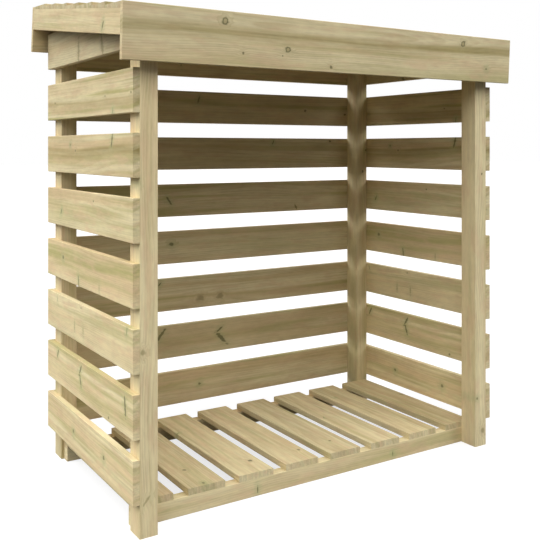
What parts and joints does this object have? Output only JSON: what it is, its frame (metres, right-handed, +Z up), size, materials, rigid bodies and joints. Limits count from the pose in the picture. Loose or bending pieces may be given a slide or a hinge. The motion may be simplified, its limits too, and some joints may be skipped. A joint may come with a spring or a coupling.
{
  "type": "log store",
  "caption": "Open-fronted firewood store: slatted timber sides and back on corner posts, a slatted floor and a boarded pent roof sloping to the front.",
  "frame": {"origin": "on the ground, at the middle of the roof's outline seen from above", "axes": "+X to the right seen from the open front, +Y from the open front to the back, +Z up"},
  "size_m": [1.2, 0.6929, 1.2673],
  "materials": {
    "post_timber": "planed pressure-treated softwood, pale straw with a green tint",
    "slat_timber": "planed pressure-treated softwood, pale straw with green streaks and small knots",
    "floor_timber": "planed pressure-treated softwood with small knots",
    "rafter_timber": "planed pressure-treated softwood",
    "fascia_timber": "planed pressure-treated softwood with greenish grain",
    "roof_timber": "sawn pressure-treated softwood weatherboard"
  },
  "bodies": {
    "root": {"back_slat_1": "slat_timber", "back_slat_2": "slat_timber", "back_slat_3": "slat_timber", "back_slat_4": "slat_timber", "back_slat_5": "slat_timber", "back_slat_6": "slat_timber", "back_slat_7": "slat_timber", "back_slat_8": "slat_timber", "floor_front_rail": "floor_timber", "floor_rear_rail": "floor_timber", "floor_slats": "floor_timber", "front_fascia": "fascia_timber", "front_left_post": "post_timber", "front_right_post": "post_timber", "left_barge_board": "fascia_timber", "left_rafter": "rafter_timber", "left_slat_1": "slat_timber", "left_slat_2": "slat_timber", "left_slat_3": "slat_timber", "left_slat_4": "slat_timber", "left_slat_5": "slat_timber", "left_slat_6": "slat_timber", "left_slat_7": "slat_timber", "left_slat_8": "slat_timber", "middle_rafter": "rafter_timber", "rear_fascia": "fascia_timber", "rear_left_post": "post_timber", "rear_right_post": "post_timber", "right_barge_board": "fascia_timber", "right_rafter": "rafter_timber", "right_slat_1": "slat_timber", "right_slat_2": "slat_timber", "right_slat_3": "slat_timber", "right_slat_4": "slat_timber", "right_slat_5": "slat_timber", "right_slat_6": "slat_timber", "right_slat_7": "slat_timber", "right_slat_8": "slat_timber", "roof_board_1": "roof_timber", "roof_board_2": "roof_timber", "roof_board_3": "roof_timber", "roof_board_4": "roof_timber", "roof_board_5": "roof_timber", "roof_board_6": "roof_timber", "roof_board_7": "roof_timber"}
  },
  "joints": []
}
